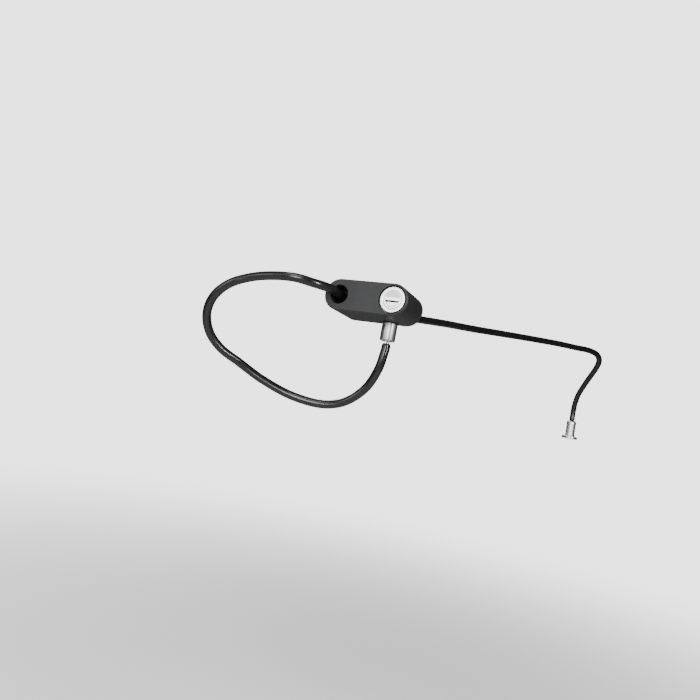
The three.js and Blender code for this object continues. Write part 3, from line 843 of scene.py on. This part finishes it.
def make_screw(number, low, high):
    """Countersunk screw with a six-lobe socket."""
    middle = (low + high) / 2
    centre = Vector((middle.x, HOLE.y, middle.z))
    front, back = low.y - HOLE.y, high.y - HOLE.y
    radius = (high.x - low.x) / 2
    profile = [(0, front), (0.9 * MM, front), (SCREW_SHANK_R, front + 0.4 * MM)]
    profile += [(SCREW_SHANK_R, back - 1.2 * MM), (radius, back - 0.1 * MM)]
    profile += [(radius - 0.1 * MM, back), (0, back)]
    body = solid(f"back_screw_{number}", lathe(profile, centre, "Y", 48))
    socket = bmesh.new()
    rings = []
    around_socket = 72
    for depth in (back - SOCKET_DEPTH, back + MM):
        ring = []
        for index in range(around_socket):
            angle = TAU * index / around_socket
            reach = SOCKET_R + SOCKET_WAVE * math.cos(6 * angle)
            ring.append(socket.verts.new(centre + Vector((
                reach * math.cos(angle), depth, reach * math.sin(angle),
            ))))
        rings.append(ring)
    bridge(socket, *rings)
    socket.faces.new(rings[0])
    socket.faces.new(list(reversed(rings[1])))
    mesh = finish_mesh(carve(body, [solid("socket", socket)]))
    return weight_normals(add_object(f"back_screw_{number}", mesh, SCREW, 30))


screws = [make_screw(number + 1, low, high) for number, (low, high) in enumerate(SCREWS)]


# ---- key cylinder ---------------------------------------------------------------------------
BARREL_R = 7.9 * MM
BARREL_BORE_R = 6.42 * MM
FLANGE_BACK = 3.2 * MM
CLIP_SEAT_R = 5.2 * MM
CLIP_SEAT_WIDTH = 1.3 * MM
PLUG_LAND_BACK = 21.2 * MM
TAIL_R = 1.5 * MM
SLOT_HALF_LENGTH = 4.4 * MM
SLOT_HALF_HEIGHT = 0.6 * MM
CHANNEL_HALF_WIDTH = 3.6 * MM
CHANNEL_HALF_HEIGHT = 0.9 * MM
CHANNEL_FRONT = 2 * MM
CHANNEL_BACK = 18.4 * MM
MOON_R = 4.1 * MM
MOON_DEPTH = 0.42 * MM
NAIL_GROOVE_R = 3.7 * MM
NAIL_GROOVE_DEPTH = 0.78 * MM
WAFER_ROOM = Vector((8, 0.9, 3.6)) * MM
SPRING_ROOM_LEFT = -3 * MM
SPRING_ROOM_RIGHT = 3.2 * MM
SPRING_ROOM_TOP = 5.2 * MM


def make_barrel():
    """Fixed ring and barrel, with its front edges rounded inside and out."""
    front = barrel_low.y - HOLE.y
    back = barrel_high.y - HOLE.y
    flange_r = (barrel_high.x - barrel_low.x) / 2
    profile = fillet(BARREL_BORE_R, front, 0.18 * MM, 1, 1, 3)
    profile += reversed(fillet(flange_r, front, 0.45 * MM, -1, 1, 5))
    profile += [(flange_r, FLANGE_BACK), (BARREL_R, FLANGE_BACK)]
    profile += [(BARREL_R, back), (BARREL_BORE_R, back)]
    mesh = mesh_from(lathe(profile, KEY_AXIS, "Y", 128), "cylinder_face")
    return add_object("cylinder_face", mesh, NICKEL, 28)


def make_plug():
    """Turning plug: the key slot, a grained field above its band and a half-moon recess below,
    the channel and wafer rooms inside, and the clip's seat and the tail behind."""
    front = plug_low.y - HOLE.y
    back = plug_high.y - HOLE.y
    radius = (plug_high.x - plug_low.x) / 2
    seat_front = barrel_high.y - HOLE.y
    seat_back = seat_front + CLIP_SEAT_WIDTH
    profile = [(0, front), *reversed(fillet(radius, front, 0.25 * MM, -1, 1, 4))]
    profile += [(radius, seat_front), (CLIP_SEAT_R, seat_front), (CLIP_SEAT_R, seat_back)]
    profile += [(radius, seat_back), (radius, PLUG_LAND_BACK), (TAIL_R, PLUG_LAND_BACK)]
    profile += [(TAIL_R, back - 0.2 * MM), (TAIL_R - 0.2 * MM, back), (0, back)]
    body = solid("key_plug_face", lathe(profile, KEY_AXIS, "Y", 128))
    cutters = [slot_cutter(), grained_field_cutter(), key_channel(), *half_moon_cutters()]
    for y in WAFER_PLACES:
        cutters += wafer_rooms(y)
    mesh = finish_mesh(carve(body, cutters))
    return weight_normals(add_object("key_plug_face", mesh, NICKEL, 28))


WAFER_BOXES = [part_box(f"wafer_{number}") for number in range(1, 6)]
WAFER_PLACES = [(low.y + high.y) / 2 - HOLE.y for low, high in WAFER_BOXES]


def prism(outline, front, back):
    """A closed bmesh of an outline in X and Z, from one depth to another."""
    bm = bmesh.new()
    rings = [[bm.verts.new(KEY_AXIS + Vector((x, y, z))) for x, z in outline] for y in (front, back)]
    bridge(bm, *rings)
    bm.faces.new(rings[0])
    bm.faces.new(list(reversed(rings[1])))
    return bm


def slot_cutter():
    """The key slot: long, thin and round-ended."""
    outline = []
    for side, first in ((1, -math.pi / 2), (-1, math.pi / 2)):
        for index in range(9):
            angle = first + math.pi * index / 8
            x = side * SLOT_HALF_LENGTH + SLOT_HALF_HEIGHT * math.cos(angle)
            outline.append((x, KEYWAY_Z + SLOT_HALF_HEIGHT * math.sin(angle)))
    return solid("key_slot", prism(outline, -CUT_OVER, 3 * MM))


def key_channel():
    """The key's way through the plug, behind the slot."""
    low = Vector((-CHANNEL_HALF_WIDTH, CHANNEL_FRONT, KEYWAY_Z - CHANNEL_HALF_HEIGHT))
    high = Vector((CHANNEL_HALF_WIDTH, CHANNEL_BACK, KEYWAY_Z + CHANNEL_HALF_HEIGHT))
    return solid("key_channel", box_mesh(KEY_AXIS + low, KEY_AXIS + high))


def grained_field_cutter():
    """Hair-deep sunk field that leaves the slot's band and a rim standing."""
    first = math.asin(BAND_TOP / FIELD_R)
    outline = []
    for index in range(41):
        angle = first + (math.pi - 2 * first) * index / 40
        outline.append((FIELD_R * math.cos(angle), FIELD_R * math.sin(angle)))
    return solid("grained_field", prism(outline, -CUT_OVER, FIELD_DEPTH))


def half_moon(outer, inner):
    """Outline of a half disc, or of a half ring, that hangs from a line under the slot."""
    turns = [math.pi + math.pi * index / 40 for index in range(41)]
    line = [(outer * math.cos(a), MOON_Z + outer * math.sin(a)) for a in turns]
    if inner > 0:
        line += [(inner * math.cos(a), MOON_Z + inner * math.sin(a)) for a in reversed(turns)]
    return line


def half_moon_cutters():
    """Shallow half-moon under the slot with a finger-nail groove along its curved edge."""
    scoop = prism(half_moon(MOON_R, 0), -CUT_OVER, MOON_DEPTH)
    groove = prism(half_moon(MOON_R, NAIL_GROOVE_R), -CUT_OVER, NAIL_GROOVE_DEPTH)
    return [solid("half_moon", scoop), solid("half_moon_groove", groove)]


def wafer_rooms(y):
    """A wafer's room across the whole plug, and its spring's room above it."""
    middle = KEY_AXIS + Vector((0, y, 0))
    half = WAFER_ROOM.y
    through = box_mesh(middle - WAFER_ROOM, middle + WAFER_ROOM)
    spring = box_mesh(middle + Vector((SPRING_ROOM_LEFT, -half, 0)),
                      middle + Vector((SPRING_ROOM_RIGHT, half, SPRING_ROOM_TOP)))
    return [solid("wafer_room", through), solid("spring_room", spring)]


cylinder = make_barrel()
plug = make_plug()


# ---- what rides where -----------------------------------------------------------------------
def stands_for(obj, body, slot, *nodes):
    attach(obj, body)
    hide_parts(*nodes)


stands_for(shell, "lock_body", "black_plastic", "front_shell")
stands_for(cover, "lock_body", "black_plastic", "back_cover")
for number, screw in enumerate(screws, 1):
    stands_for(screw, "lock_body", "satin_steel", f"cover_screw_{number}")
stands_for(cylinder, "lock_body", "nickel", "cylinder_barrel")
stands_for(plug, "key_cylinder", "nickel", "key_plug")
stands_for(anchor, "lock_body", "satin_steel", "anchor_sleeve")
stands_for(ferrule, "cable_end", "satin_steel", "ferrule")
stands_for(pin, "cable_end", "satin_steel", "locking_pin")
stands_for(bare_rope, "cable_end", "satin_steel", "rope_neck")

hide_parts("cable_loop", "cable_run")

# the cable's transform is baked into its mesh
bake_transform(cable)

CAD_LOOKS = {
    "lock_case": ZINC, "barrel_seal": RUBBER, "plug_clip": SPRING,
    "tail_cam": SPRING, "locking_bolt": SPRING,
}
for number in range(1, 6):
    CAD_LOOKS[f"wafer_{number}"] = BRASS
    CAD_LOOKS[f"wafer_spring_{number}"] = SPRING
for node, material in CAD_LOOKS.items():
    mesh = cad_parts[node].data
    mesh.materials.clear()
    mesh.materials.append(material)


# ---- floor and light ------------------------------------------------------------------------
FLOOR_R = 1.6
FLOOR_DROP = 0.25
FADE_MIDDLE = 0.7
FADE_WIDTH = 1.1


def make_floor():
    """Pale round floor that thins out towards its far edge and is clear from below."""
    bm = bmesh.new()
    bmesh.ops.create_circle(bm, cap_ends=True, segments=96, radius=FLOOR_R)
    mesh = bpy.data.meshes.new("floor")
    bm.to_mesh(mesh)
    bm.free()
    floor = bpy.data.objects.new("floor", mesh)
    bpy.context.scene.collection.objects.link(floor)
    floor.location = (HOLE.x, HOLE.y + 0.1, cad_low.z - FLOOR_DROP)
    look = Look("pale_floor", (0.7, 0.7, 0.7), 0.9)
    look.tint(look.noise(2, 3), (0.68, 0.68, 0.68), (0.72, 0.72, 0.72))
    distance = look.node("ShaderNodeVectorMath", operation="LENGTH")
    look.link(look.place, distance.inputs[0])
    far = look.step(distance.outputs["Value"], FADE_MIDDLE, FADE_WIDTH)
    below = look.node("ShaderNodeNewGeometry").outputs["Backfacing"]
    fade = look.maths("MAXIMUM", far, below)
    clear = look.node("ShaderNodeBsdfTransparent")
    mix = look.node("ShaderNodeMixShader")
    look.link(fade, mix.inputs[0])
    look.link(look.shader.outputs[0], mix.inputs[1])
    look.link(clear.outputs[0], mix.inputs[2])
    look.link(mix.outputs[0], look.tree.nodes["Material Output"].inputs["Surface"])
    mesh.materials.append(look.done())


def soft_light(name, place, target, size, power):
    data = bpy.data.lights.new(name, "AREA")
    data.shape = "RECTANGLE"
    data.size, data.size_y = size
    data.energy = power
    light = bpy.data.objects.new(name, data)
    bpy.context.scene.collection.objects.link(light)
    light.location = place
    light.rotation_euler = (target - place).to_track_quat("-Z", "Y").to_euler()


def make_world(fill, backdrop):
    """A white backdrop, and a dimmer even fill light from the studio around the object."""
    world = bpy.data.worlds.new("studio")
    bpy.context.scene.world = world
    world.use_nodes = True
    tree = world.node_tree
    studio = tree.nodes["Background"]
    studio.inputs["Color"].default_value = (1, 1, 1, 1)
    studio.inputs["Strength"].default_value = fill
    white = tree.nodes.new("ShaderNodeBackground")
    white.inputs["Color"].default_value = (1, 1, 1, 1)
    white.inputs["Strength"].default_value = backdrop
    path = tree.nodes.new("ShaderNodeLightPath")
    mix = tree.nodes.new("ShaderNodeMixShader")
    tree.links.new(path.outputs["Is Camera Ray"], mix.inputs[0])
    tree.links.new(studio.outputs[0], mix.inputs[1])
    tree.links.new(white.outputs[0], mix.inputs[2])
    tree.links.new(mix.outputs[0], tree.nodes["World Output"].inputs["Surface"])


MIDDLE = at(20, 0, 0)
CAMERA_SIDE = -65


def around(degrees, height, distance):
    """A place at an angle to the left of the camera's side of the lock. The height is a share of
    the distance."""
    angle = math.radians(CAMERA_SIDE - degrees)
    return MIDDLE + Vector((math.cos(angle), math.sin(angle), height)) * distance


make_floor()
make_world(0.04, 3)
soft_light("main_panel", around(12, 0.10, 0.9), MIDDLE, (0.30, 0.5), 12)
soft_light("key_panel", around(22, 1.4, 0.55), MIDDLE, (0.5, 0.3), 6)
soft_light("left_panel", around(52, 0.15, 0.9), MIDDLE, (0.50, 0.6), 4.6)
soft_light("right_panel", around(-62, 0.05, 0.9), MIDDLE, (0.6, 0.6), 0.6)
soft_light("right_strip", around(-40, 0.20, 0.9), MIDDLE, (0.05, 0.6), 10)
soft_light("back_panel", around(148, 0.75, 0.85), MIDDLE, (0.6, 0.6), 10)
